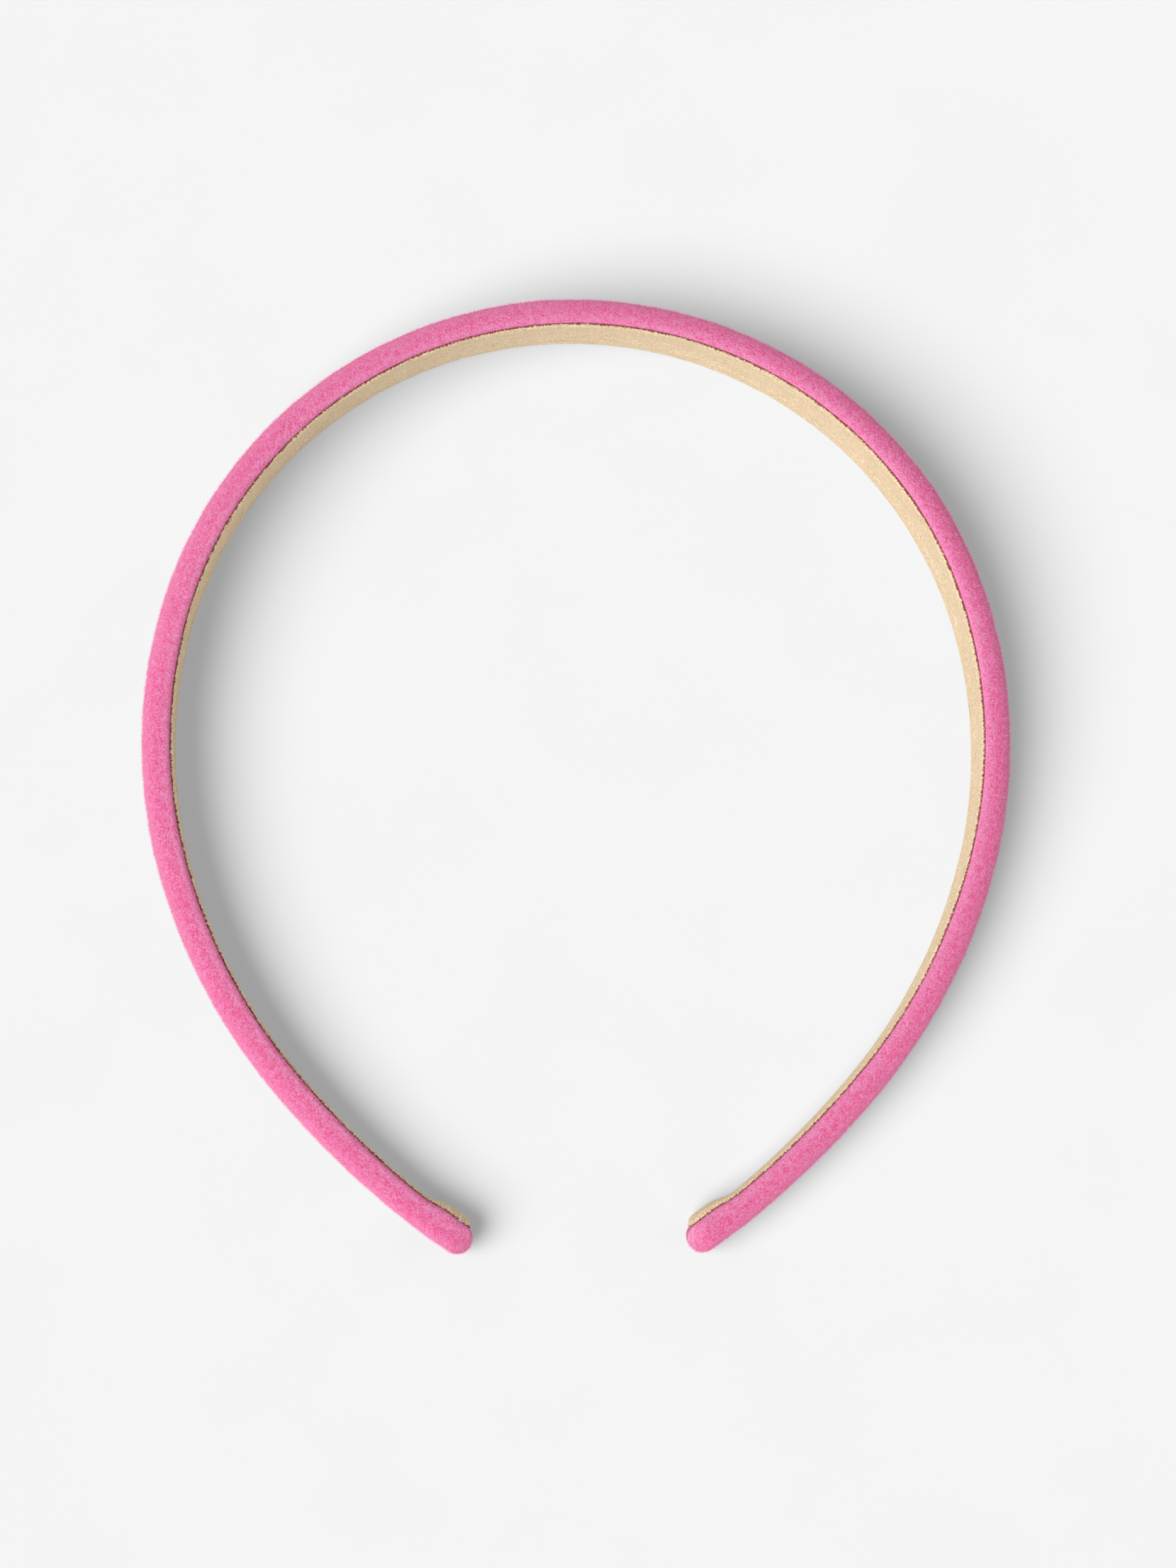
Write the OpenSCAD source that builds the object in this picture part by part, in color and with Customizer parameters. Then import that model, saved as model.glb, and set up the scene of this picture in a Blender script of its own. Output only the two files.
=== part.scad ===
// Padded hair band, lying on its edge: +Z is the width of the band, +Y runs from the
// tips to the crown, and X goes from ear to ear. The floor is z = 0.
// The band is swept along a chain of tangent arcs. A place along it is given by its
// turn: the angle in degrees that the band has bent through since the crown's middle.
// Across its thickness, n is the distance from the middle line, outwards positive.

/* [Band] */
// Bend radius of the middle line around the crown
crown_r = 62; // [58:1:68]
// Bend radius past the temples
temple_r = 70; // [66:1:78]
// Bend radius behind the ears
ear_r = 83; // [76:1:95]
// Bend radius of the tails
tail_r = 135; // [110:5:180]
// Turn of the crown arc, from the middle to one side
crown_turn = 75; // [70:1:80]
// Turn of the temple arc
temple_turn = 30; // [25:1:35]
// Turn of the ear arc
ear_turn = 25; // [20:1:30]
// Turn of the tail arc, up to the tip
tail_turn = 15.5; // [12:0.5:17]
// Width of the band over the crown
crown_w = 15; // [12:0.5:20]
// Width of the band at the tips
tip_w = 7; // [6.5:0.5:10]

/* [Layers] */
// Thickness of the whole band
band_t = 4.4; // [4.2:0.1:5]
// Thickness of the lining
lining_t = 0.5; // [0.4:0.1:0.7]
// Thickness of the lining's glue
glue_t = 0.1; // [0.05:0.05:0.15]
// Thickness of the pile cover
cover_t = 0.65; // [0.5:0.05:0.8]
// Thickness of the steel core
core_t = 0.5; // [0.4:0.1:0.7]
// Thickness of the foam's adhesive tape
tape_t = 0.15; // [0.1:0.05:0.2]
// How far the cover is turned in under the lining
hem_w = 4; // [3:0.5:5]
// Distance of the lining's long edges from the edges of the band
lining_inset = 1; // [0.4:0.1:1.5]

/* [Flex] */
// Turn at which each arm is taken to bend
hinge_turn = 57; // [56:1:62]
// Slit between the crown's solids and an arm's
slit = 0.3; // [0.3:0.05:0.5]

/* [Hidden] */
$fn = 96;

play = 0.05;                       // gap between layers that lie on each other
core_inset = cover_t + 0.35;       // from the band's edges to the core's and the tape's
pad_inset = cover_t + 0.85;        // from the band's edges to the pad's
cap_len = 5;                       // length of a tip cap
core_gap = 3.2;                    // from the end of the core to the tip
cap_gap = 1.9;                     // from the end of a tip cap to the tip
cap_inset = 1.5;                   // from the band's edges to a tip cap
lining_gap = 1.6;                  // from the end of the lining to the tip
bead_r = 0.25;                     // radius of the glue bead
edge_round = 0.45;                 // rounding where the cover turns in
dome_power = 2 / 5;                // 1 is an ellipse, less is squarer
dome_steps = 10;                   // points over the dome
ring_step = 5;                     // distance between the rings along an arm
round_steps = 6;                   // rings around the end of the tip

// Layers, as n: each surface's distance from the middle line
half_t = band_t / 2;
lining_top = -half_t + lining_t;
hem_in = lining_top + glue_t + play;
hem_out = hem_in + cover_t;
core_in = hem_out + play;
core_out = core_in + core_t;
tape_in = core_out + play;
tape_out = tape_in + tape_t;
pad_in = tape_out + play;
pad_out = half_t - cover_t - 2 * play;
cap_out = pad_out - 0.9;           // the flat back of a tip cap
dome_foot = core_in;               // where the dome of the outer face starts

// The chain of arcs
bend_r = [crown_r, temple_r, ear_r, tail_r];
arc_turn = [crown_turn, temple_turn, ear_turn, tail_turn];
function turn_to(i) = i == 0 ? 0 : turn_to(i - 1) + arc_turn[i - 1];
end_turn = turn_to(len(bend_r));
function outward(a) = [sin(a), cos(a)];
function centre(i) =
  i == 0 ? [0, 0] : centre(i - 1) + (bend_r[i - 1] - bend_r[i]) * outward(turn_to(i));
function arc_at(a) = len([for (i = [1 : len(bend_r) - 1]) if (a > turn_to(i)) i]);
function raw_place(a, n) = centre(arc_at(a)) + (bend_r[arc_at(a)] + n) * outward(a);

// The length of the middle line up to an arc's start, and the turn at a length
function length_to(i) =
  i == 0 ? 0 : length_to(i - 1) + bend_r[i - 1] * arc_turn[i - 1] * PI / 180;
end_length = length_to(len(bend_r));
function turn_at(length) =
  let (i = len([for (i = [1 : len(bend_r) - 1]) if (length > length_to(i)) i]))
  turn_to(i) + (length - length_to(i)) / bend_r[i] * 180 / PI;
function turn_before_end(gap) = turn_at(end_length - gap);

// The rounded end: what is left of the thickness and width, 1 before the rounding
function end_scale(gap) = gap >= half_t ? 1 : sqrt(max(0, 1 - pow(1 - gap / half_t, 2)));

// The origin is at the middle of the object's box
function low_y(gap) = raw_place(turn_before_end(gap), half_t * end_scale(gap)).y;
lowest = min([for (gap = [0 : 0.05 : 5]) low_y(gap)]);
y_shift = -(crown_r + half_t + lowest) / 2;
function place(a, n) = raw_place(a, n) + [0, y_shift];

// The band is as wide as the crown up to the hinge, then narrows evenly down to the tip
hinge_y = place(hinge_turn, 0).y;
tip_y = place(end_turn, 0).y;
function width_at(a) =
  a <= hinge_turn ? crown_w
  : tip_w + (crown_w - tip_w) * (place(a, 0).y - tip_y) / (hinge_y - tip_y);

crown_end = turn_at(crown_r * hinge_turn * PI / 180 - slit / 2);
arm_length = crown_r * hinge_turn * PI / 180 + slit / 2;

// --- cross-sections, as lists of [n, z] for a band of width w ---

// Half of a rounded outline from z = w - inset down to z = inset, over a crest
function dome(w, inset, foot, crest) =
  [for (i = [0 : dome_steps])
    let (t = 180 * i / dome_steps, c = cos(t), s = sin(t))
    [foot + (crest - foot) * pow(s, dome_power),
     w / 2 + (w / 2 - inset) * sign(c) * pow(abs(c), dome_power)]];

// The cover is a C: over the outer face, round both edges and in under the lining
function cover_outside(w, hem) =
  let (b = edge_round, k = b * (1 - sqrt(0.5)))
  concat(
    [[hem_in, w - hem], [hem_in, w - b], [hem_in + k, w - k], [hem_in + b, w]],
    dome(w, 0, dome_foot, half_t),
    [[hem_in + b, 0], [hem_in + k, k], [hem_in, b], [hem_in, hem]]);

function cover_inside(w, hem) =
  let (t = cover_t, corner = hem_out + 0.02)
  concat(
    [[hem_out, w - hem], [hem_out, w - t - 0.06], [hem_out + 0.01, w - t - 0.02],
     [corner, w - t]],
    dome(w, t, dome_foot, half_t - t),
    [[corner, t], [hem_out + 0.01, t + 0.02], [hem_out, t + 0.06], [hem_out, hem]]);

function ring_order(outside, inside) =
  concat(outside, [for (i = [len(inside) - 1 : -1 : 0]) inside[i]]);

function cover_section(w, hem) = ring_order(cover_outside(w, hem), cover_inside(w, hem));

// The foam is flat on its tape and domed outwards
function pad_section(w) =
  let (top = dome(w, pad_inset, pad_in + 0.2, pad_out))
  ring_order(top, [for (p = top) [pad_in, p.y]]);

// --- solids ---

// A section stood up at a turn of the band, shrunk by k about the section's middle
function stand(section, a, w, k = 1) =
  [for (p = section)
    let (q = place(a, p.x * k))
    [q.x, q.y, w / 2 + (p.y - w / 2) * k]];

// Rings joined into a closed solid. Point i of a ring faces point len - 1 - i, which
// gives the end faces
module loft(rings) {
  m = len(rings[0]);
  last = len(rings) - 1;
  sides = [
    for (i = [0 : last - 1], j = [0 : m - 1])
      let (a = i * m + j, b = i * m + (j + 1) % m)
      each [[a, b, b + m], [a, b + m, a + m]]
  ];
  ends = [
    for (j = [0 : m / 2 - 2])
      let (a = j, b = j + 1, c = m - 2 - j, d = m - 1 - j, e = last * m)
      each [[a, c, b], [a, d, c], [e + a, e + b, e + c], [e + a, e + c, e + d]]
  ];
  polyhedron(points = [for (r = rings) each r], faces = concat(sides, ends));
}

// A section turned about the crown's centre, from one turn to another
module turned(from, to, r = crown_r) {
  rotate([0, 0, 90 - to])
    rotate_extrude(angle = to - from)
      translate([r, 0]) children();
}

module crown_strip(n0, n1, inset) {
  translate([0, y_shift, 0])
    turned(-crown_end, crown_end)
      translate([n0, inset]) square([n1 - n0, crown_w - 2 * inset]);
}

function strip_section(w, n0, n1, inset) =
  ring_order([[n1, w - inset], [n1, inset]], [[n0, w - inset], [n0, inset]]);

// Lengths of an arm's rings up to a gap before the tip. They are the same for every
// layer, so that the layers' facets nest
function arm_lengths(gap) =
  let (stop = end_length - gap)
  concat([for (l = [arm_length : ring_step : stop - ring_step / 3]) l], [stop]);

module arm_strip(n0, n1, inset, gap) {
  loft([for (l = arm_lengths(gap))
    let (a = turn_at(l), w = width_at(a))
    stand(strip_section(w, n0, n1, inset), a, w)]);
}

// --- sub-parts ---

module core(side) {
  color("lightsteelblue")
    if (side == 0) crown_strip(core_in, core_out, core_inset);
    else sided(side) arm_strip(core_in, core_out, core_inset, core_gap);
}

module tape(side) {
  color("whitesmoke")
    if (side == 0) crown_strip(tape_in, tape_out, core_inset);
    else sided(side) arm_strip(tape_in, tape_out, core_inset, cap_gap + cap_len + play);
}

module pad(side) {
  color("lightyellow")
    if (side == 0) {
      translate([0, y_shift, 0])
        turned(-crown_end, crown_end) polygon(pad_section(crown_w));
    } else {
      sided(side)
        loft([for (l = arm_lengths(cap_gap + cap_len + play))
          let (a = turn_at(l), w = width_at(a))
          stand(pad_section(w), a, w)]);
    }
}

module cover(side) {
  color("hotpink")
    if (side == 0) {
      translate([0, y_shift, 0])
        turned(-crown_end, crown_end) polygon(cover_section(crown_w, hem_w));
    } else {
      rounding = [for (i = [1 : round_steps])
        end_length - half_t * (1 - sin(88 * i / round_steps))];
      sided(side)
        loft([for (l = concat(arm_lengths(half_t), rounding))
          let (a = turn_at(l), w = width_at(a), k = end_scale(end_length - l))
          stand(cover_section(w, k < 1 ? w / 2 - play : min(hem_w, w / 3)), a, w, k)]);
    }
}

// A moulded cap with a round end and a slot that the core's end sits in
module tip_cap(side) {
  stop = turn_before_end(cap_gap);
  start = turn_before_end(cap_gap + cap_len);
  slot_stop = turn_before_end(core_gap - play);
  w = width_at(stop);
  round_r = w / 2 - cap_inset;
  c = centre(3);
  q = place(turn_before_end(cap_gap + round_r), 0);
  color("dimgray")
    sided(side)
      difference() {
        intersection() {
          translate([c.x, c.y + y_shift, 0])
            turned(start, stop, tail_r)
              translate([core_in, cap_inset])
                square([cap_out - core_in, w - 2 * cap_inset]);
          translate([q.x, q.y, w / 2])
            rotate([90, 0, -stop]) cylinder(h = 12, r = round_r, center = true);
        }
        translate([c.x, c.y + y_shift, 0])
          turned(start - 1, slot_stop, tail_r)
            translate([core_in - 1, core_inset - 0.3])
              square([core_t + 1 + play, w]);
      }
}

module lining_glue(side) {
  color("ivory")
    if (side == 0) crown_strip(lining_top, hem_in - play, lining_inset + 0.3);
    else sided(side)
      arm_strip(lining_top, hem_in - play, lining_inset + 0.3, lining_gap + 0.3);
}

module lining(side) {
  color("burlywood")
    if (side == 0) crown_strip(-half_t, lining_top, lining_inset);
    else sided(side) arm_strip(-half_t, lining_top, lining_inset, lining_gap);
}

// Glue squeezed out at the end of the lining on the left
module glue_bead() {
  a = turn_before_end(lining_gap + 1);
  q = place(a, hem_in - bead_r);
  color("white")
    sided(-1) translate([q.x, q.y, width_at(a) - lining_inset + bead_r]) sphere(bead_r);
}

// The left-hand side is the right-hand side mirrored
module sided(side) {
  mirror([side < 0 ? 1 : 0, 0, 0]) children();
}

core(0);  // core_crown
core(-1);  // core_left
core(1);  // core_right
tip_cap(-1);  // tip_cap_left
tip_cap(1);  // tip_cap_right
tape(0);  // tape_crown
tape(-1);  // tape_left
tape(1);  // tape_right
pad(0);  // pad_crown
pad(-1);  // pad_left
pad(1);  // pad_right
cover(0);  // cover_crown
cover(-1);  // cover_left
cover(1);  // cover_right
lining_glue(0);  // lining_glue_crown
lining_glue(-1);  // lining_glue_left
lining_glue(1);  // lining_glue_right
lining(0);  // lining_crown
lining(-1);  // lining_left
lining(1);  // lining_right
glue_bead();
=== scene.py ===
import math

import bmesh
import bpy
import numpy as np
from mathutils import Matrix, Vector


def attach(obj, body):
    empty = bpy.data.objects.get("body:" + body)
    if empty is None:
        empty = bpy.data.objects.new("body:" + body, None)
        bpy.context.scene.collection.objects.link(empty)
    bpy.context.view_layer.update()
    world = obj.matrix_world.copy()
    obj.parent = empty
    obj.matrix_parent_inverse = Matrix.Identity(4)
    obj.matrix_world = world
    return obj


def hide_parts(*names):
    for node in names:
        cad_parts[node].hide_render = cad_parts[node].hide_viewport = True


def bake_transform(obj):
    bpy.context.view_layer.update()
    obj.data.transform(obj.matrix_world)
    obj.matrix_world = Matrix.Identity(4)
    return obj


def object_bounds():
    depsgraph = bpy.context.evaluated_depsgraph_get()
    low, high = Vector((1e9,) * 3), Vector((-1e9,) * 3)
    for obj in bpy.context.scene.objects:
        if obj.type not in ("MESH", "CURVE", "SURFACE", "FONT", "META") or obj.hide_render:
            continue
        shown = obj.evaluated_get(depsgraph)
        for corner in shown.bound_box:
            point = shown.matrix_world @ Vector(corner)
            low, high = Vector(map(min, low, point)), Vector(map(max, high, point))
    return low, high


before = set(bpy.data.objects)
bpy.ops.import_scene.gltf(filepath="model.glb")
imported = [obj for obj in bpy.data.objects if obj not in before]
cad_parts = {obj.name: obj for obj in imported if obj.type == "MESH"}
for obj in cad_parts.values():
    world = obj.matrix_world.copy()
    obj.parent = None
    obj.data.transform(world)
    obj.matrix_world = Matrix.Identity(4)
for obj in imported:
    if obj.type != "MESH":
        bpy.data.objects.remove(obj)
cad_low, cad_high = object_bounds()

# Lengths are in millimetres and are turned into metres as meshes are made. A point on the band has a
# length, from the crown's middle and negative on the left, a distance n outwards from the middle line,
# and a height z over the floor.
MM = 0.001

# --- sizes, as in the CAD ---

# The band follows a chain of tangent arcs, from the crown's middle to each tip; the turns are in degrees
BEND_RADII = (62, 70, 83, 135)
ARC_TURNS = (75, 30, 25, 15.5)
HINGE_TURN = 57            # from the crown's middle to the hinge, where the taper starts
CROWN_W, TIP_W, HEM_W = 15, 7, 4
BAND_T, LINING_T, GLUE_T, COVER_T, CORE_T, TAPE_T = 4.4, 0.5, 0.1, 0.65, 0.5, 0.15
PLAY = 0.05                # between layers
HALF_T = BAND_T / 2

# The n of each layer's faces
LINING_TOP = -HALF_T + LINING_T
HEM_IN = LINING_TOP + GLUE_T + PLAY
HEM_OUT = HEM_IN + COVER_T
CORE_IN = HEM_OUT + PLAY
CORE_OUT = CORE_IN + CORE_T
TAPE_IN = CORE_OUT + PLAY
TAPE_OUT = TAPE_IN + TAPE_T
PAD_IN = TAPE_OUT + PLAY
PAD_OUT = HALF_T - COVER_T - 2 * PLAY

# From the band's long edges to each layer
CORE_INSET, PAD_INSET, LINING_INSET = COVER_T + 0.35, COVER_T + 0.85, 1.0
GLUE_INSET = LINING_INSET + 0.3

# From the tip to the end of each layer
LINING_GAP = 1.6
GLUE_GAP = LINING_GAP + 0.3
CORE_GAP = 3.2
CAP_ROOM = 6.95            # the pad and the tape end here, before the tip cap

# --- sizes that only the looks have ---

ROW_STEP, LINING_STEP = 1.0, 0.5   # between rings along the band
FLAT_COLUMNS, PAD_COLUMNS, LINING_COLUMNS = 9, 25, 21
LINING_RIM = np.array([0, 0.012, 0.03, 0.06])   # more columns at each cut edge, as shares of the width
WAVE_COUNT = 9             # sines that make up one layer of unevenness

# The dome, which is the outer face and both sides; a power of 1 is an ellipse, and less is squarer
DOME_FOOT = CORE_IN
DOME_POWER_N, DOME_POWER_Z = 2 / 2.3, 2 / 5
DOME_COLUMNS = 33
PAD_SIDE = 0.2             # how high the pad's sides stand before its dome

# The cover: from its hem, round a corner, and over the dome
CORNER_R, CORNER_COLUMNS = 0.68, 6
HEM_SPOTS = (1.25, 1.02, 0.85)   # the hem's columns near the corner, from the band's edge
HEM_COLUMNS = 2 + len(HEM_SPOTS)
HEM_PUFF = 0.1             # how far the hem's pile swells beside the lining's edge
PUFF_FOOT, PUFF_RAMP = 1.2, 0.3  # where it does, from the band's edge
PILE_RISE = 0.1            # how far the loose pile stands over the CAD's pressed pile
CLOSING, CLOSED = 5.0, 2.4       # the hems come together between these distances from the tip
TIP_R = 3.6                # of the tip's outline, as seen on the band's faces
TIP_RINGS = np.radians(np.linspace(9, 87, 10))   # angles of the rings round the tip
COVER_WAVES = (3, 13, 0.045), (4, 6, 0.01)       # seed, wavelength and size of each layer
SIDE_RISE = 1.5            # over the hem, where the outer face's unevenness is complete
SPLAY_HIGHLIGHT_AT, SPLAY_HIGHLIGHT_SPREAD = DOME_FOOT - 0.15, 0.7   # where on its sides the pile splays and is painted paler as a highlight, and how widely
CORNER_STEP_N, CORNER_STEP_Z, HEM_STEP = 0.02, 0.06, 0.1   # between points at its sharp inner corner

# The cover's gathered end bulges under the lining, which rises over it
BULGE_RISE = 0.75          # how far it pushes the lining's middle inwards
BULGE_SHIFT = 0.5          # how far it pushes the whole lining inwards
BULGE_START, BULGE_FULL = 10.5, 5.5   # where that starts and is complete, from the tip
BULGE_BLEND = 1.2          # the depth over which the cover's inner side takes up the push

# The lining
TOP_WAVES = (11, 9, 0.07), (12, 1.7, 0.04)       # of its upper cut edge
LOW_WAVES = (13, 8, 0.07), (14, 1.5, 0.04)       # of its lower cut edge
LINING_END_R, LINING_END_W = 2.5, 0.72   # rounding of its end, and the share of width left there
SAG = 0.2                  # how far it sags outwards, between the hems
SAG_LOW, SAG_LOW_RAMP = 0.2, 0.7     # it starts this far inside the lower hem, and grows over this
SAG_TOP, SAG_TOP_RAMP = 1.5, 3.5     # it ends this far onto the upper hem, and fades over this
EDGE_T, EDGE_T_RAMP = 0.8, 0.2       # the melted edge's share of the thickness, and its width
GLUED_RIM = 0.5            # the width over which the lining's outer face rises to the hem
BURN_W = 0.25              # of the scorched edge
BURN_INSIDE = 0.4          # how much of the scorching reaches the lining's inner face
ARCH_POWER, ARCH_END_R = 0.7, 2.0    # the rise over the gathered end: its arch, and its rounding

# The pile's fibres
PILE_SEED = 70
FIBRES_PER_MM2 = 14
FIBRE_LENGTHS, FIBRE_RADII = (0.2, 0.46), (0.015, 0.032)
STRAY_SHARE, STRAY_LENGTH = 0.02, 0.15   # fibres that stand out, and by how much
FIBRE_LEAN, FIBRE_COMBED = 0.4, 0.25     # random, and towards the tips
FIBRE_ROOT = 0.08          # how deep they start
FLOOR_ROOM = 0.02          # between the fibres and the floor

# The cover's cloth simulation
SIM_SCALE = 100            # the solver works on a band 100 times as large, as its units suit
SIM_FRAMES, SIM_QUALITY = 12, 4
SIM_PRESSURE = 0.05
MAX_PUFF = 0.3             # how far the simulation may move a point
PINNED, PINNED_RAMP = 2.5, 3.0       # from the tip: pinned up to here, and then freer over this length
FOAM_WAVES = (5, 8, 0.5)   # of how hard the foam presses, from 0 to 1

# Dried glue beside the left tip: the distance from the lining's end, and the radius, of each speck
GLUE_SPECKS = (1.6, 0.13), (2.0, 0.2), (2.7, 0.09)
SPECK_FLAT = 0.6           # their height and depth, as a share of their length
SPECK_IN, SPECK_UP = 0.1, 0.05       # inwards from the lining's outer face, and over its edge

# Samples of the band's width along half its length
AREA_SAMPLES = 200

SIDES = {-1: "left", 1: "right"}

# --- the band's line ---

ARC_LENGTHS = [r * math.radians(t) for r, t in zip(BEND_RADII, ARC_TURNS)]
HALF_LENGTH = sum(ARC_LENGTHS)
Y_SHIFT = cad_high.y / MM - BEND_RADII[0] - HALF_T


def midline(lengths):
    """Points and outward directions of the middle line."""
    side, along = np.sign(lengths), np.abs(lengths)
    points, outward = np.zeros((len(lengths), 2)), np.zeros((len(lengths), 2))
    centre, turn, length = np.array([0.0, Y_SHIFT]), 0.0, 0.0
    for i, (radius, arc_turn) in enumerate(zip(BEND_RADII, ARC_TURNS)):
        here = along >= length
        angle = turn + (along[here] - length) / radius
        outward[here] = np.stack([np.sin(angle), np.cos(angle)], axis=1)
        points[here] = centre + radius * outward[here]
        turn += math.radians(arc_turn)
        length += ARC_LENGTHS[i]
        if i + 1 < len(BEND_RADII):
            step = radius - BEND_RADII[i + 1]
            centre = centre + step * np.array([math.sin(turn), math.cos(turn)])
    mirror = np.where(side < 0, -1.0, 1.0)
    points[:, 0] *= mirror
    outward[:, 0] *= mirror
    return points, outward


HINGE_LENGTH = BEND_RADII[0] * math.radians(HINGE_TURN)
(_, HINGE_Y), (_, TIP_Y) = midline(np.array([HINGE_LENGTH, HALF_LENGTH]))[0]


def width_at(lengths):
    """The band's width, which tapers from the hinges to the tips."""
    y = midline(lengths)[0][:, 1]
    return CROWN_W + (TIP_W - CROWN_W) * np.clip((HINGE_Y - y) / (HINGE_Y - TIP_Y), 0, 1)


def rows_to(gap, step=ROW_STEP):
    """Lengths of the rings from tip to tip, ending a gap before each tip, with one at the middle."""
    half = np.linspace(0, HALF_LENGTH - gap, int(round((HALF_LENGTH - gap) / step)) + 1)
    return np.concatenate([-half[:0:-1], half])


def half_rows(lengths, side):
    """The rows of the left (-1) or right (1) half, from the crown's middle to the tip."""
    middle = int(np.argmin(np.abs(lengths)))
    return slice(middle, None) if side > 0 else slice(middle, None, -1)


def smooth(t):
    """From 0 to 1, with no corner at either end."""
    t = np.clip(t, 0, 1)
    return t * t * (3 - 2 * t)


def waves(lengths, across, *layers):
    """Gentle unevenness over the band: sines with seeded directions and phases.

    Each layer is a seed, a wavelength and a size.
    """
    total = np.zeros(np.broadcast(lengths, across).shape)
    for seed, wavelength, size in layers:
        random = np.random.default_rng(seed)
        layer = np.zeros(total.shape)
        for _ in range(WAVE_COUNT):
            a, b, phase = random.normal(), random.normal(), random.uniform(0, 2 * math.pi)
            layer += np.sin(2 * math.pi / wavelength * (a * lengths + b * across) + phase)
        total += size * layer / math.sqrt(WAVE_COUNT)
    return total


def stand(lengths, n, z):
    """3-D points, in metres, of rows of (n, z) on the band."""
    points, outward = midline(lengths)
    xy = points[:, None, :] + n[..., None] * outward[:, None, :]
    return np.concatenate([xy, z[..., None]], axis=2) * MM


# --- meshes ---

def quads_between(rows, columns, first=0):
    """Quads over a grid of points that are numbered row by row."""
    i, j = np.meshgrid(np.arange(rows - 1), np.arange(columns - 1), indexing="ij")
    a = first + i * columns + j
    return np.stack([a, a + 1, a + columns + 1, a + columns], axis=-1).reshape(-1, 4)


def closed_faces(rows, columns):
    """Quads over an outer grid and an inner grid of points, and round the edges between them."""
    size = rows * columns
    outside, inside = quads_between(rows, columns), quads_between(rows, columns, size)
    round_edges = []
    for column in (0, columns - 1):
        a = np.arange(rows - 1) * columns + column
        quad = np.stack([a, a + columns, a + columns + size, a + size], axis=1)
        round_edges.append(quad if column == 0 else quad[:, ::-1])
    for row in (0, rows - 1):
        a = row * columns + np.arange(columns - 1)
        quad = np.stack([a, a + size, a + size + 1, a + 1], axis=1)
        round_edges.append(quad if row == 0 else quad[:, ::-1])
    return np.concatenate([outside, inside[:, ::-1], *round_edges])


def add_attribute(mesh, name, values, kind="FLOAT", field="value"):
    layer = mesh.attributes.new(name, kind, "POINT")
    layer.data.foreach_set(field, np.asarray(values, np.float32).ravel())


def link_object(name, data):
    thing = bpy.data.objects.new(name, data)
    bpy.context.scene.collection.objects.link(thing)
    return thing


def new_object(name, vertices, faces, materials, smooth_faces=True):
    mesh = bpy.data.meshes.new(name)
    mesh.from_pydata(vertices.tolist(), [], faces.tolist())
    for material in materials:
        mesh.materials.append(material)
    mesh.polygons.foreach_set("use_smooth", np.full(len(mesh.polygons), smooth_faces))
    return link_object(name, mesh)


def sharpen_rims(mesh, rows, columns, cut_edges):
    """Sharp rims at the crown's middle, and with cut_edges round the whole strip's faces."""
    vertices = np.empty(2 * len(mesh.edges), int)
    mesh.edges.foreach_get("vertices", vertices)
    grid, spot = np.divmod(vertices.reshape(-1, 2), rows * columns)
    row, column = np.divmod(spot, columns)
    sharp = (row == 0).all(axis=1)
    if cut_edges:
        sharp |= (row == rows - 1).all(axis=1)
        sharp |= (column == 0).all(axis=1) | (column == columns - 1).all(axis=1)
    sharp &= grid[:, 0] == grid[:, 1]
    layer = mesh.attributes.new("sharp_edge", "BOOLEAN", "EDGE")
    layer.data.foreach_set("value", sharp)


def strip_half(name, side, lengths, outer, inner, across, material, marks=None, cut_edges=True):
    """The left (-1) or right (1) half of a strip with an outer and an inner grid of points.

    Both halves end in flat faces at the crown's middle, with sharp rims so that they shade as one. The
    attribute "band" gives each point's length, its place across, and 0 outside or 1 inside.
    """
    keep = half_rows(lengths, side)
    outer, inner, lengths = outer[keep], inner[keep], lengths[keep]
    rows, columns = outer.shape[:2]
    faces = closed_faces(rows, columns)
    if side > 0:
        faces = faces[:, ::-1]
    vertices = np.concatenate([outer.reshape(-1, 3), inner.reshape(-1, 3)])
    piece = new_object(name, vertices, faces, [material])
    u = np.repeat(lengths, columns)
    v = across[keep].ravel()
    deep = np.repeat([0.0, 1.0], rows * columns)
    band = np.stack([np.tile(u, 2), np.tile(v, 2), deep], axis=1)
    add_attribute(piece.data, "band", band, "FLOAT_VECTOR", "vector")
    if marks is not None:
        label, on_outer, on_inner = marks
        add_attribute(piece.data, label, [on_outer[keep], on_inner[keep]])
    sharpen_rims(piece.data, rows, columns, cut_edges)
    return piece


# --- materials: their patterns are in millimetres of band ---

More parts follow.
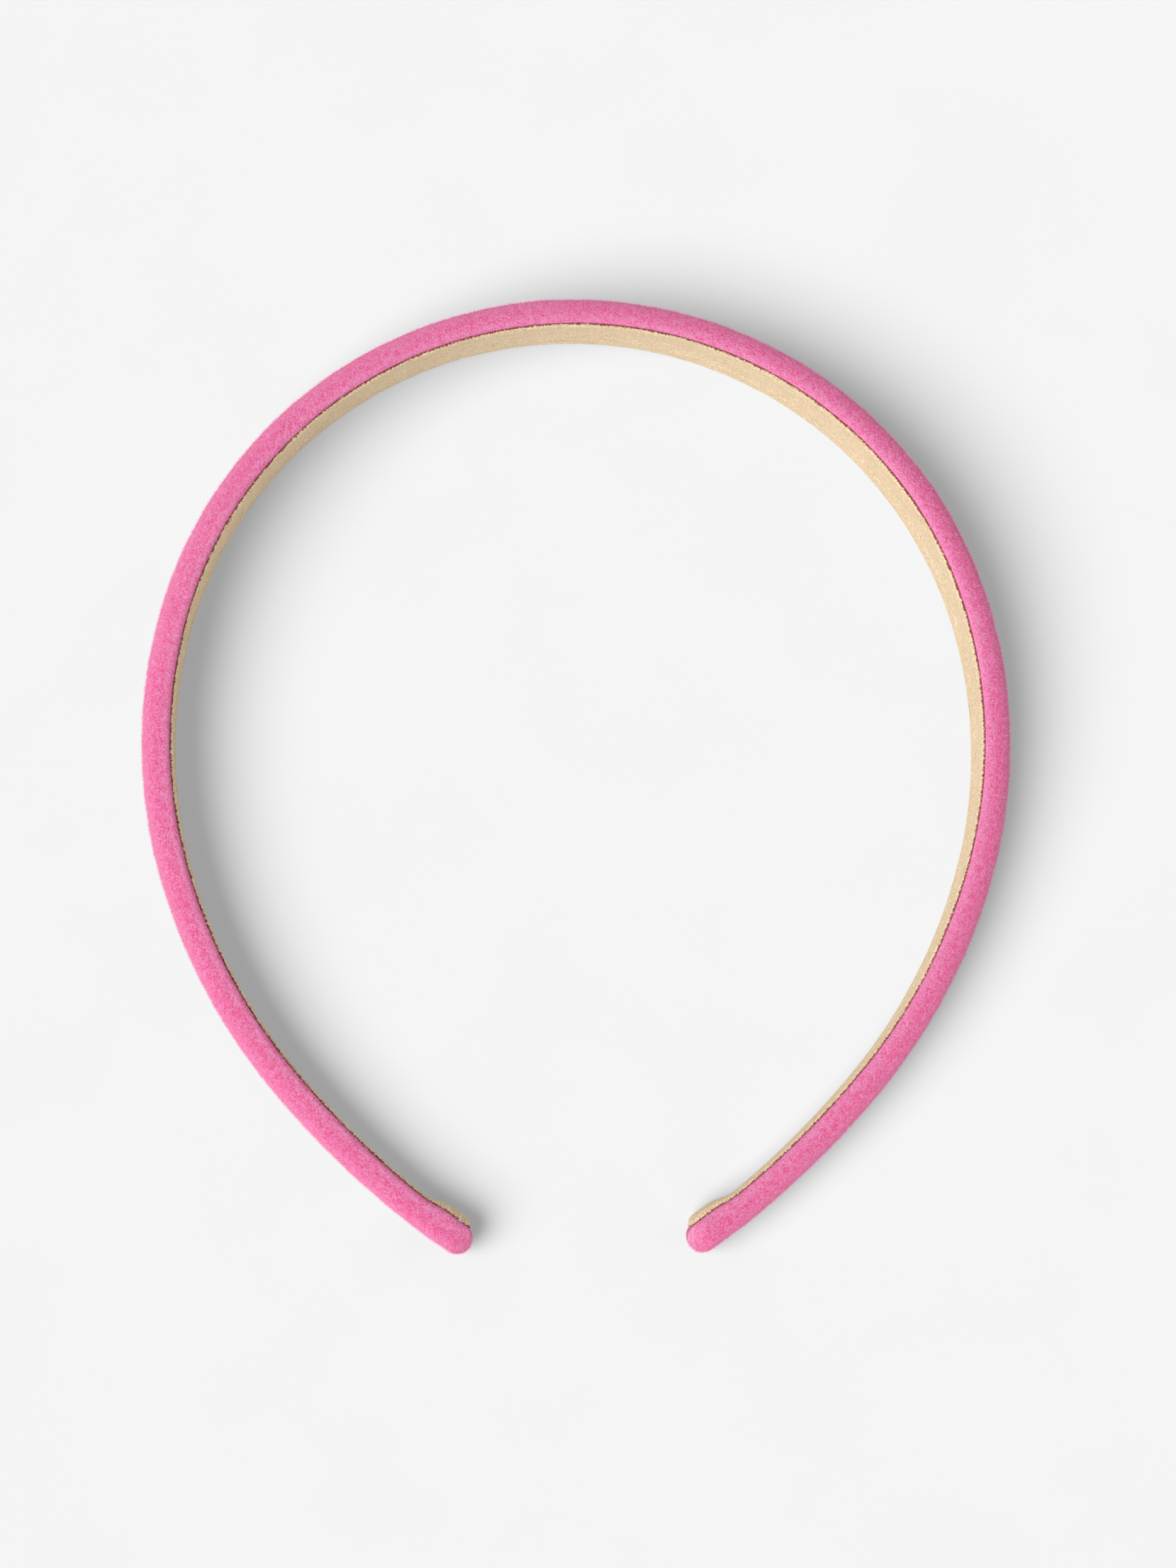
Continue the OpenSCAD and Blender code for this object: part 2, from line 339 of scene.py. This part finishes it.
class Nodes:
    """A material's node tree, with short ways to add what the fabrics need."""

    def __init__(self, name):
        self.material = bpy.data.materials.new(name)
        self.material.use_nodes = True
        self.tree = self.material.node_tree
        self.shader = self.tree.nodes["Principled BSDF"]

    def add(self, kind, **values):
        node = self.tree.nodes.new(kind)
        for name, value in values.items():
            setattr(node, name, value)
        return node

    def link(self, a, b):
        self.tree.links.new(a, b)

    def feed(self, value, socket):
        """Link a socket to a node's output, or set it to a number or a colour."""
        if isinstance(value, (int, float)):
            socket.default_value = value
        elif isinstance(value, tuple):
            socket.default_value = (*value, 1)
        else:
            self.link(value, socket)

    def set(self, **values):
        for name, value in values.items():
            self.feed(value, self.shader.inputs[name.replace("_", " ")])

    def attribute(self, name):
        return self.add("ShaderNodeAttribute", attribute_name=name).outputs

    def scaled(self, vector, scale):
        node = self.add("ShaderNodeVectorMath", operation="MULTIPLY")
        self.link(vector, node.inputs[0])
        node.inputs[1].default_value = scale
        return node.outputs[0]

    def noise(self, vector, scale, detail=2.0, roughness=0.5):
        node = self.add("ShaderNodeTexNoise")
        self.link(vector, node.inputs["Vector"])
        node.inputs["Scale"].default_value = scale
        node.inputs["Detail"].default_value = detail
        node.inputs["Roughness"].default_value = roughness
        return node.outputs["Fac"]

    def maths(self, operation, a, b):
        node = self.add("ShaderNodeMath", operation=operation)
        self.feed(a, node.inputs[0])
        self.feed(b, node.inputs[1])
        return node.outputs[0]

    def swing(self, noise, gain):
        """A noise's swing about its middle, times gain."""
        return self.maths("MULTIPLY", self.maths("SUBTRACT", noise, 0.5), gain)

    def ramp(self, value, *stops):
        node = self.add("ShaderNodeValToRGB")
        self.link(value, node.inputs[0])
        elements = node.color_ramp.elements
        while len(elements) < len(stops):
            elements.new(0.5)
        for element, (place, colour) in zip(elements, stops):
            element.position = place
            element.color = (*colour, 1)
        return node.outputs[0]

    def mix(self, factor, a, b, blend="MIX"):
        node = self.add("ShaderNodeMix", data_type="RGBA", blend_type=blend)
        self.feed(factor, node.inputs[0])
        self.feed(a, node.inputs[6])
        self.feed(b, node.inputs[7])
        return node.outputs[2]

    def bump(self, height, distance, strength=1.0):
        node = self.add("ShaderNodeBump")
        self.link(height, node.inputs["Height"])
        node.inputs["Distance"].default_value = distance
        node.inputs["Strength"].default_value = strength
        self.link(node.outputs[0], self.shader.inputs["Normal"])


def velour():
    """Hot-pink pile: mottled where it leans different ways, and paler in a painted highlight along its
    sides, where the pile splays.
    """
    m = Nodes("pink_velour")
    at = m.attribute("band")["Vector"]
    clumps = m.noise(at, scale=1.15, detail=3, roughness=0.6)
    stretches = (1.5, 0.65, 1), (0.65, 1.5, 1)   # strokes across the band, and along it
    strokes = [m.noise(m.scaled(at, stretch), scale=3.7, detail=3, roughness=0.75)
               for stretch in stretches]
    fine = m.maths("MULTIPLY", m.maths("ADD", *strokes), 0.5)
    brushed = m.noise(m.scaled(at, (0.35, 0.12, 1)), scale=0.6, detail=2)
    grain = m.maths("ADD", m.swing(clumps, 0.42), m.swing(fine, 1.7))
    grain = m.maths("ADD", grain, 0.5)
    # Painted highlight: the pink is made paler along the cover's sides, where the pile splays
    painted_highlight = m.maths("MULTIPLY", m.attribute("splayed")["Fac"], 0.07)
    deep, plain, pale = (0.93, 0.09, 0.28), (1.0, 0.20, 0.45), (1.0, 0.39, 0.65)
    pink = m.ramp(m.maths("ADD", grain, painted_highlight), (0.36, deep), (0.5, plain), (0.64, pale))
    soft = m.ramp(brushed, (0.35, (1.0, 0.91, 0.95)), (0.65, (1.0, 1.0, 1.0)))
    m.set(Base_Color=m.mix(1.0, pink, soft, "MULTIPLY"), Roughness=0.92, Specular_IOR_Level=0.06,
          Sheen_Weight=0.55, Sheen_Roughness=0.35, Sheen_Tint=(1.0, 0.55, 0.78))
    m.bump(grain, distance=0.0003)
    return m.material


def pile_fibre(name, colour):
    """A single fibre is too thin to have a pattern, so three shades of them are mixed."""
    m = Nodes(name)
    m.set(Base_Color=colour, Roughness=0.85, Specular_IOR_Level=0.1, Sheen_Weight=0.25,
          Sheen_Roughness=0.4, Sheen_Tint=(1.0, 0.6, 0.8))
    return m.material


def suede():
    """Tan microsuede with a short nap, and a brown melted line where its edge was heat-cut."""
    m = Nodes("tan_suede")
    at = m.attribute("band")["Vector"]
    nap = m.noise(m.scaled(at, (0.8, 1.2, 1)), scale=4.4, detail=4, roughness=0.75)
    cloud = m.noise(m.scaled(at, (0.6, 1.5, 1)), scale=0.5, detail=3, roughness=0.6)
    dark, plain, pale = (0.55, 0.375, 0.205), (0.755, 0.57, 0.365), (0.89, 0.73, 0.525)
    tan = m.ramp(nap, (0.39, dark), (0.5, plain), (0.62, pale))
    shade = m.ramp(cloud, (0.3, (0.91, 0.89, 0.86)), (0.6, (1.0, 1.0, 1.0)))
    clean = m.mix(1.0, tan, shade, "MULTIPLY")
    jagged = m.noise(m.scaled(at, (1.0, 0.4, 0.4)), scale=3.4, detail=3, roughness=0.7)
    edge = m.maths("ADD", m.attribute("burn")["Fac"], m.swing(jagged, 1.7))
    scorch = m.ramp(edge, (0.46, (0, 0, 0)), (0.58, (1, 1, 1)))
    brown = m.ramp(nap, (0.35, (0.15, 0.025, 0.025)), (0.65, (0.33, 0.09, 0.075)))
    m.set(Base_Color=m.mix(scorch, clean, brown), Roughness=0.9, Specular_IOR_Level=0.15,
          Sheen_Weight=0.15, Sheen_Roughness=0.5, Sheen_Tint=(1.0, 0.88, 0.7))
    m.bump(nap, distance=0.00012, strength=0.6)
    return m.material


def foam():
    """Cream foam with open cells."""
    m = Nodes("foam")
    cells = m.add("ShaderNodeTexVoronoi")
    m.link(m.attribute("band")["Vector"], cells.inputs["Vector"])
    cells.inputs["Scale"].default_value = 2.2
    height = cells.outputs["Distance"]
    colour = m.ramp(height, (0.1, (0.62, 0.58, 0.46)), (0.6, (0.9, 0.87, 0.76)))
    m.set(Base_Color=colour, Roughness=0.95)
    m.bump(height, distance=0.0003)
    return m.material


def strip_steel():
    """Bright rolled steel, with fine lines along the strip."""
    m = Nodes("spring_steel")
    at = m.attribute("band")["Vector"]
    rolled = m.noise(m.scaled(at, (0.05, 4.0, 1)), scale=1.5, detail=4, roughness=0.6)
    grey = m.ramp(rolled, (0.3, (0.42, 0.44, 0.46)), (0.7, (0.66, 0.67, 0.69)))
    rough = m.maths("ADD", m.maths("MULTIPLY", rolled, 0.25), 0.2)
    m.set(Base_Color=grey, Roughness=rough, Metallic=1.0)
    m.bump(rolled, distance=0.00003)
    return m.material


def mottled(name, low, high, scale, roughness, bump, on_band=True):
    """Small variations of colour and height, with a scale in millimetres of band or in metres."""
    m = Nodes(name)
    if on_band:
        at = m.attribute("band")["Vector"]
    else:
        at = m.add("ShaderNodeTexCoord").outputs["Object"]
    spots = m.noise(at, scale=scale, detail=3, roughness=0.6)
    m.set(Base_Color=m.ramp(spots, (0.3, low), (0.7, high)), Roughness=roughness)
    m.bump(spots, distance=bump)
    return m.material


# --- cross-sections, as rows of n and z for bands of width w ---

def dome(w, inset, foot, crest, columns):
    """A squared-off half round from z = w - inset over the crest to z = inset."""
    t = np.linspace(0, math.pi, columns)[None, :]
    c, s = np.cos(t), np.clip(np.sin(t), 0, 1)
    n = foot + (crest - foot) * s ** DOME_POWER_N + 0 * w
    z = w / 2 + (w / 2 - inset) * np.sign(c) * np.abs(c) ** DOME_POWER_Z
    return n, z


def with_lower_hem(n, z, w):
    """Adds the lower corner and hem, which mirror the upper ones, after the dome."""
    upper = HEM_COLUMNS + CORNER_COLUMNS
    return np.hstack([n, n[:, :upper][:, ::-1]]), np.hstack([z, (w - z[:, :upper])[:, ::-1]])


def cover_faces(w, hem):
    """The C-shaped cover's outer and inner faces, with as many points on each."""
    corner = np.linspace(0, math.pi / 2, CORNER_COLUMNS)[None, :]
    from_edge = np.hstack([hem, 0.6 * hem, *[spot + 0 * w for spot in HEM_SPOTS]])
    n_dome, z_dome = dome(w, 0, DOME_FOOT, HALF_T + PILE_RISE, DOME_COLUMNS)
    n_hem = HEM_IN - HEM_PUFF * smooth((PUFF_FOOT - from_edge) / PUFF_RAMP)
    z_hem = w - from_edge
    n_corner = HEM_IN - HEM_PUFF + (CORNER_R + HEM_PUFF) * (1 - np.cos(corner)) + 0 * w
    z_corner = w - CORNER_R * (1 - np.sin(corner))
    outside = np.hstack([n_hem, n_corner, n_dome]), np.hstack([z_hem, z_corner, z_dome])
    n_dome, z_dome = dome(w, COVER_T, DOME_FOOT, HALF_T - COVER_T, DOME_COLUMNS)
    apart = corner / corner.max()
    n_corner = HEM_OUT + CORNER_STEP_N * apart + 0 * w
    z_corner = w - COVER_T - CORNER_STEP_Z * (1 - apart)
    n_hem = np.full(z_hem.shape, HEM_OUT)
    z_hem = np.minimum(z_hem, w - COVER_T - HEM_STEP)
    inside = np.hstack([n_hem, n_corner, n_dome]), np.hstack([z_hem, z_corner, z_dome])
    return *with_lower_hem(*outside, w), *with_lower_hem(*inside, w)


def end_rounding(gap, radius):
    """The share of its full size that a section has, at this gap from an end with this rounding."""
    inside = np.clip(1 - gap / radius, 0, 1)
    return np.sqrt(np.clip(1 - inside * inside, 0, 1))


def bulge_at(lengths):
    """How much of its push the cover's gathered end gives to what lies over it, from 0 to 1."""
    gap = HALF_LENGTH - np.abs(lengths)
    return smooth((BULGE_START - gap) / (BULGE_START - BULGE_FULL))


# --- the cover's cloth simulation ---

def settle(outer, free, push):
    """Let the foam puff the cover up: a pinned cloth under uneven pressure, from a grid of points.

    free says how loose each point is, from 0 (glued down) to 1, and push how hard the foam presses it.
    """
    rows, columns = outer.shape[:2]
    mesh = bpy.data.meshes.new("cover_cloth")
    mesh.from_pydata((outer.reshape(-1, 3) * SIM_SCALE).tolist(), [],
                     quads_between(rows, columns)[:, ::-1].tolist())
    cloth = link_object("cover_cloth", mesh)
    groups = {"glued": 1 - free, "foam": push}
    for label, weights in groups.items():
        group = cloth.vertex_groups.new(name=label)
        for i, weight in enumerate(weights.ravel().tolist()):
            group.add([i], weight, "REPLACE")
    modifier = cloth.modifiers.new("cloth", "CLOTH")
    settings = modifier.settings
    settings.quality = SIM_QUALITY
    settings.vertex_group_mass = "glued"
    settings.use_pressure = True
    settings.uniform_pressure_force = SIM_PRESSURE
    settings.vertex_group_pressure = "foam"
    settings.effector_weights.gravity = 0
    modifier.point_cache.frame_start, modifier.point_cache.frame_end = 1, SIM_FRAMES
    scene = bpy.context.scene
    for frame_number in range(1, SIM_FRAMES + 1):
        scene.frame_set(frame_number)
    shaped = cloth.evaluated_get(bpy.context.evaluated_depsgraph_get())
    points = np.empty(rows * columns * 3)
    shaped.data.vertices.foreach_get("co", points)
    scene.frame_set(1)
    bpy.data.objects.remove(cloth)
    bpy.data.meshes.remove(mesh)
    moved = points.reshape(rows, columns, 3) / SIM_SCALE - outer
    distance = np.linalg.norm(moved, axis=2, keepdims=True)
    most = MAX_PUFF * MM
    moved *= most * np.tanh(distance / most) / np.maximum(distance, 1e-12)
    return outer + moved * free[..., None]


# --- the strips: rows of lengths, outer and inner grids, places across, and marks for the material ---

def cover_grids():
    """The cover closes over the tips, and its pile splays along the band's sides, where a paler highlight
    is painted.
    """
    rounding = HALF_LENGTH - HALF_T * (1 - np.sin(TIP_RINGS))
    lengths = np.concatenate([-rounding[::-1], rows_to(HALF_T), rounding])
    gap = HALF_LENGTH - np.abs(lengths)[:, None]
    w = width_at(lengths)[:, None]
    hem = np.minimum(HEM_W, w / 3)
    hem = hem + (w / 2 - PLAY - hem) * smooth((CLOSING - gap) / (CLOSING - CLOSED))
    n_out, z_out, n_in, z_in = cover_faces(w, hem)
    keep_n, keep_z = end_rounding(gap, HALF_T), end_rounding(gap, TIP_R)
    push = BULGE_SHIFT * bulge_at(lengths)[:, None]
    outer_side = smooth((n_out - HEM_OUT) / SIDE_RISE)
    n_out = n_out + waves(lengths[:, None], z_out, *COVER_WAVES) * outer_side

    def rounded(n, z):
        inwards = smooth((DOME_FOOT + BULGE_BLEND / 2 - n) / BULGE_BLEND)
        return (n - push * inwards) * keep_n, w / 2 + (z - w / 2) * keep_z

    # Painted highlight: a band along each side, by the fold to the hems, that the material paints paler
    # pink
    splayed = np.exp(-((n_out - SPLAY_HIGHLIGHT_AT) / SPLAY_HIGHLIGHT_SPREAD) ** 2)
    splayed[:, :HEM_COLUMNS - 1] = 0
    splayed[:, 1 - HEM_COLUMNS:] = 0
    n_out, z_out = rounded(n_out, z_out)
    n_in, z_in = rounded(n_in, z_in)
    run = np.hypot(np.diff(n_out, axis=1), np.diff(z_out, axis=1))
    across = np.hstack([np.zeros((len(lengths), 1)), np.cumsum(run, axis=1)])
    outer = stand(lengths, n_out, z_out)
    free = outer_side * smooth((gap - PINNED) / PINNED_RAMP)
    foam_push = np.clip(0.5 + waves(lengths[:, None], z_out, FOAM_WAVES), 0, 1)
    outer = settle(outer, free, foam_push)
    return lengths, outer, stand(lengths, n_in, z_in), across, ("splayed", splayed, splayed)


def flat_grids(n_in, n_out, inset, gap):
    """A strip with a rectangular section."""
    lengths = rows_to(gap)
    w = width_at(lengths)[:, None]
    z = (w - inset) + (2 * inset - w) * np.linspace(0, 1, FLAT_COLUMNS)[None, :]
    outer, inner = (stand(lengths, np.full(z.shape, n), z) for n in (n_out, n_in))
    return lengths, outer, inner, w - z


def pad_grids():
    lengths = rows_to(CAP_ROOM)
    w = width_at(lengths)[:, None]
    n, z = dome(w, PAD_INSET, PAD_IN + PAD_SIDE, PAD_OUT, PAD_COLUMNS)
    return lengths, stand(lengths, n, z), stand(lengths, np.full(n.shape, PAD_IN), z), w - z


def lining_grids():
    """The lining sags a little between the turned-in hems, and rises over the gathered ends."""
    lengths = rows_to(LINING_GAP, LINING_STEP)
    from_end = (HALF_LENGTH - np.abs(lengths))[:, None] - LINING_GAP
    w = width_at(lengths)[:, None]
    u = np.concatenate([LINING_RIM, np.linspace(0.1, 0.9, LINING_COLUMNS), 1 - LINING_RIM[::-1]])[None, :]
    wide = LINING_END_W + (1 - LINING_END_W) * end_rounding(from_end, LINING_END_R)
    top = w - LINING_INSET + waves(lengths[:, None], 0, *TOP_WAVES)
    low = LINING_INSET + waves(lengths[:, None], 0, *LOW_WAVES)
    top, low = w / 2 + (top - w / 2) * wide, w / 2 + (low - w / 2) * wide
    z = top + (low - top) * u
    rim = np.minimum(np.minimum(u, 1 - u) * w, from_end)
    hem = np.minimum(HEM_W, w / 3)
    sag = smooth((z - hem - SAG_LOW) / SAG_LOW_RAMP) * smooth((w - hem + SAG_TOP - z) / SAG_TOP_RAMP)
    to_hem = (HEM_IN - PLAY / 2 - LINING_TOP) * (1 - smooth(rim / GLUED_RIM))
    n_out = LINING_TOP + SAG * sag + to_hem
    n_in = n_out - LINING_T * (EDGE_T + (1 - EDGE_T) * smooth(rim / EDGE_T_RAMP))
    arch = np.sin(math.pi * np.clip((z - low) / (top - low), 0, 1)) ** ARCH_POWER
    arch = arch * end_rounding(from_end, ARCH_END_R)
    lift = bulge_at(lengths)[:, None] * (BULGE_SHIFT + BULGE_RISE * arch)
    outer, inner = stand(lengths, n_out - lift, z), stand(lengths, n_in - lift, z)
    burn = np.clip(1 - rim / BURN_W, 0, 1)
    return lengths, outer, inner, w - z, ("burn", burn, BURN_INSIDE * burn)


# --- pieces ---

def unit(vectors):
    return vectors / np.maximum(np.linalg.norm(vectors, axis=-1, keepdims=True), 1e-9)


def pile(name, side, outer, lengths, materials):
    """Fibres that stand out of the cover's outer face, as thin cones rooted just under it."""
    random = np.random.default_rng(PILE_SEED + side)
    round_corners = slice(HEM_COLUMNS - 2, 2 - HEM_COLUMNS)
    grid = outer[half_rows(lengths, side), round_corners] / MM
    a, b, c, d = grid[:-1, :-1], grid[:-1, 1:], grid[1:, 1:], grid[1:, :-1]
    normal = np.cross(b - a, d - a) * (-side)
    area = np.linalg.norm(normal, axis=2)
    count = int(area.sum() * FIBRES_PER_MM2)
    cell = random.choice(area.size, count, p=(area / area.sum()).ravel())
    i, j = np.unravel_index(cell, area.shape)
    p, q = random.random((2, count, 1))
    root = (a[i, j] * (1 - p) * (1 - q) + b[i, j] * (1 - p) * q
            + d[i, j] * p * (1 - q) + c[i, j] * p * q)
    lean = random.normal(0, FIBRE_LEAN, (count, 3)) + FIBRE_COMBED * unit(d[i, j] - a[i, j])
    direction = unit(unit(normal)[i, j] + lean)
    length = random.uniform(*FIBRE_LENGTHS, (count, 1))
    length += (random.random((count, 1)) < STRAY_SHARE) * STRAY_LENGTH
    tip = root + direction * length
    tip[:, 2] = np.maximum(tip[:, 2], FLOOR_ROOM)
    any_way = [0.3, 0.5, 0.81]
    first = unit(np.cross(direction, any_way))
    second = np.cross(direction, first)
    base = root - direction * FIBRE_ROOT
    radius = random.uniform(*FIBRE_RADII, (count, 1))
    corners = [base + radius * (math.cos(t) * first + math.sin(t) * second)
               for t in (0, 2 * math.pi / 3, 4 * math.pi / 3)]
    points = np.stack([*corners, tip], axis=1).reshape(-1, 3) * MM
    cone = np.array([[0, 1, 3], [1, 2, 3], [2, 0, 3], [0, 2, 1]])
    faces = (np.arange(count)[:, None, None] * 4 + cone).reshape(-1, 3)
    piece = new_object(name, points, faces, materials, smooth_faces=False)
    shade = random.integers(0, len(materials), count)
    piece.data.polygons.foreach_set("material_index", np.repeat(shade, 4))
    return piece


def finish_half(piece):
    """Bakes a half's placement into its mesh, and hides it from diffuse rays.

    The floor and the lining don't take up the pile's pink that way.
    """
    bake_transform(piece)
    piece.visible_diffuse = False


def build_band():
    """Each layer is one strip from tip to tip, in two halves that meet at the crown's middle."""
    materials = {
        "cover": velour(),
        "pad": foam(),
        "core": strip_steel(),
        "tape": mottled("tape", (0.78, 0.77, 0.72), (0.9, 0.9, 0.86), 0.8, 0.5, 0.00002),
        "lining_glue": mottled("glue", (0.72, 0.69, 0.6), (0.9, 0.88, 0.8), 0.7, 0.35, 0.00005),
        "lining": suede(),
    }
    shades = [pile_fibre("pile_deep", (0.95, 0.13, 0.35)), pile_fibre("pile_mid", (1.0, 0.23, 0.49)),
              pile_fibre("pile_pale", (1.0, 0.42, 0.68))]
    grids = {
        "cover": cover_grids(),
        "pad": pad_grids(),
        "core": flat_grids(CORE_IN, CORE_OUT, CORE_INSET, CORE_GAP),
        "tape": flat_grids(TAPE_IN, TAPE_OUT, CORE_INSET, CAP_ROOM),
        "lining_glue": flat_grids(LINING_TOP, LINING_TOP + GLUE_T, GLUE_INSET, GLUE_GAP),
        "lining": lining_grids(),
    }
    pieces = {}
    for layer, (lengths, outer, inner, across, *marks) in grids.items():
        for side, word in SIDES.items():
            piece = strip_half(f"{layer}_{word}_half", side, lengths, outer, inner, across,
                               materials[layer], *marks, cut_edges=layer != "cover")
            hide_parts(f"{layer}_{word}", f"{layer}_crown")
            finish_half(piece)
            pieces[layer, side] = piece
    lengths, outer, *_ = grids["cover"]
    for side, word in SIDES.items():
        fibres = pile(f"pile_{word}_half", side, outer, lengths, shades)
        finish_half(fibres)
        pieces["pile", side] = fibres
    return pieces


def declare_soft(pieces):
    half = np.linspace(0, HALF_LENGTH, AREA_SAMPLES)
    w = width_at(half)


def glue_drop():
    """Lumpy specks of dried glue, squeezed out over the lining's edge near the left tip."""
    shape = bmesh.new()
    for gap, size in GLUE_SPECKS:
        length = np.array([gap + LINING_GAP - HALF_LENGTH])
        n = LINING_TOP - SPECK_IN - BULGE_SHIFT * bulge_at(length)
        z = width_at(length) - LINING_INSET + SPECK_UP
        middle = stand(length, n[:, None], z[:, None])[0, 0]
        x, y = midline(length)[1][0]
        axes = np.array([[y, -x, 0], [SPECK_FLAT * x, SPECK_FLAT * y, 0], [0, 0, SPECK_FLAT]])
        for vertex in bmesh.ops.create_icosphere(shape, subdivisions=3, radius=1)["verts"]:
            a, b, c = vertex.co
            lump = 1 + 0.16 * math.sin(3.1 * a + 1.3 * c) + 0.1 * math.sin(5.3 * b + 2 * a)
            vertex.co = middle + MM * size * lump * (np.array([a, b, c]) @ axes)
    mesh = bpy.data.meshes.new("glue_drop")
    shape.to_mesh(mesh)
    shape.free()
    mesh.polygons.foreach_set("use_smooth", np.full(len(mesh.polygons), True))
    mesh.materials.append(mottled("dried_glue", (0.8, 0.77, 0.73), (0.95, 0.93, 0.9), 2500, 0.5,
                                  0.00003, on_band=False))
    drop = link_object("glue_drop", mesh)
    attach(drop, "left_arm")
    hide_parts("glue_bead")


def finish_caps():
    """The tip caps keep their CAD shapes, out of sight in the ends."""
    plastic = mottled("cap_plastic", (0.02, 0.02, 0.022), (0.05, 0.05, 0.055), 900, 0.55, 0.00002,
                      on_band=False)
    for name in ("tip_cap_left", "tip_cap_right"):
        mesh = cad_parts[name].data
        mesh.materials.clear()
        mesh.materials.append(plastic)


# --- stage, in metres ---

FLOOR_HALF = 30.0          # reaches the horizon in a low view

# The camera looks down on the band from above its lower left, and sees this height of floor
CAMERA_AT = Vector((-0.0391, -0.0568, 0.5978))
LOOKS_AT = Vector((0.00188, -0.00074, 0.0))
VIEW_HEIGHT = 0.23672
ROLL = math.radians(0.37)

FILL_SPREAD = 60
COOL, WHITE, WARM = (0.965, 0.982, 1.0), (1.0, 1.0, 1.0), (1.0, 0.94, 0.87)
WORLD_LIGHT = 0.08


def floor():
    a = FLOOR_HALF
    corners = np.array([[-a, -a, 0], [a, -a, 0], [a, a, 0], [-a, a, 0]])
    m = Nodes("paper")
    at = m.add("ShaderNodeTexCoord").outputs["Object"]
    white = m.ramp(m.noise(at, scale=40), (0.3, (0.80, 0.80, 0.80)), (0.7, (0.81, 0.81, 0.81)))
    m.set(Base_Color=white, Roughness=0.9, Specular_IOR_Level=0.1)
    new_object("floor", corners, np.array([[0, 1, 2, 3]]), [m.material])


def aim(thing, target, up=(0, 1, 0)):
    back = (thing.location - Vector(target)).normalized()
    right = Vector(up).cross(back).normalized()
    rotation = Matrix([right, back.cross(right), back]).transposed()
    thing.rotation_euler = rotation.to_euler()


def camera():
    """The sensor's width lies along the picture's longer side, which is its height."""
    lens = bpy.data.cameras.new("camera")
    lens.lens = lens.sensor_width * (CAMERA_AT - LOOKS_AT).length / VIEW_HEIGHT
    thing = link_object("camera", lens)
    thing.location = CAMERA_AT
    aim(thing, LOOKS_AT, up=(math.sin(ROLL), math.cos(ROLL), 0))
    bpy.context.scene.camera = thing


def sun(name, place, energy, spread, shadow=True, colour=WHITE):
    light = bpy.data.lights.new(name, "SUN")
    light.color = colour
    light.energy = energy
    light.angle = math.radians(spread)
    light.use_shadow = shadow
    lamp = link_object(name, light)
    lamp.location = place
    aim(lamp, (0, 0, 0))


def lights():
    """A soft box above the left casts the shadow, and fill from the other sides casts none."""
    sun("softbox", (-0.58, -0.27, 0.766), 2.95, 48)
    sun("fill_top", (0.0, 0.0, 1.0), 0.605, FILL_SPREAD, shadow=False, colour=COOL)
    sun("fill_right", (1.0, 0.3, 0.25), 0.72, FILL_SPREAD, shadow=False, colour=WARM)
    sun("fill_front", (0.15, -1.0, 0.2), 0.75, FILL_SPREAD, shadow=False)
    sun("fill_left", (-0.8, 0.75, 0.15), 0.5, FILL_SPREAD, shadow=False)
    world = bpy.data.worlds.new("world")
    world.use_nodes = True
    background = world.node_tree.nodes["Background"]
    background.inputs["Color"].default_value = (*WHITE, 1)
    background.inputs["Strength"].default_value = WORLD_LIGHT
    scene = bpy.context.scene
    scene.world = world
    scene.view_settings.view_transform = "Standard"


floor()
camera()
lights()
declare_soft(build_band())
glue_drop()
finish_caps()
